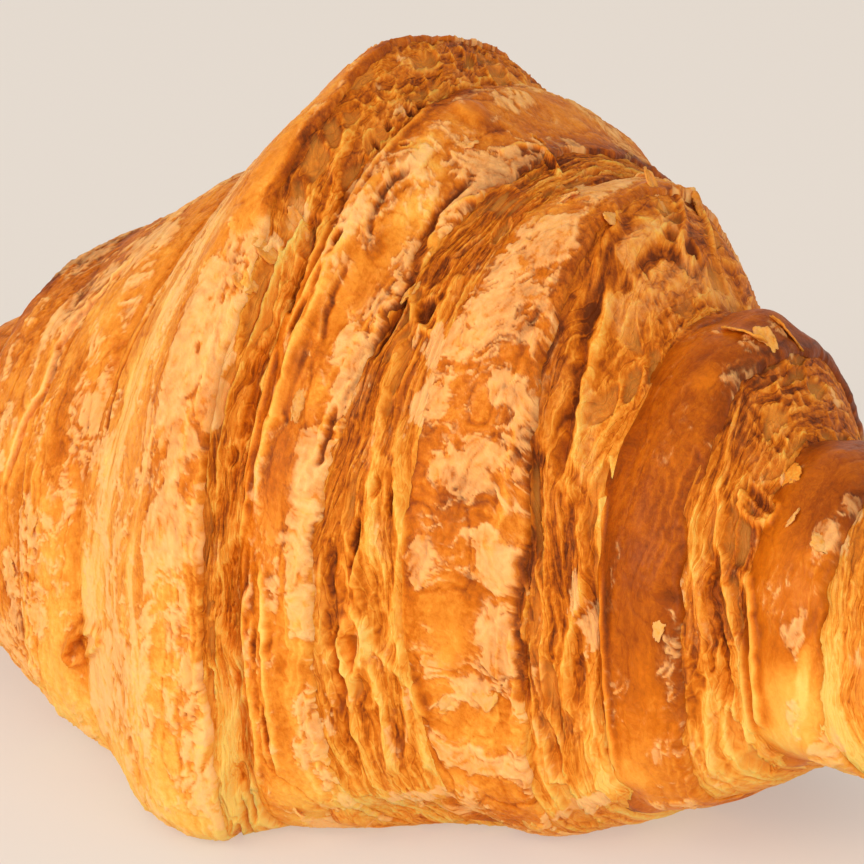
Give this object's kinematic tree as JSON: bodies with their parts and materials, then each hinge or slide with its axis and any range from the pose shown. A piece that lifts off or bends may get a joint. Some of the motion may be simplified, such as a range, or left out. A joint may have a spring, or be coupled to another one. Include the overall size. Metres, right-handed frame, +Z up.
{
  "type": "butter croissant",
  "caption": "Plump rolled and baked croissant with stepped wraps, cut pastry layers showing between them, and a flat settled underside.",
  "frame": {"origin": "centre of the bounding box in X and Y, at the height of the flat underside the pastry rests on", "axes": "+X along the roll from the left arm to the right arm, -Y to the front of the roll seen in the picture, +Z up"},
  "size_m": [0.1384, 0.0752, 0.0643],
  "materials": {
    "baked_crust": "satin, egg-washed, unevenly browned flaky crust"
  },
  "bodies": {
    "root": {"croissant": "baked_crust"}
  },
  "joints": []
}
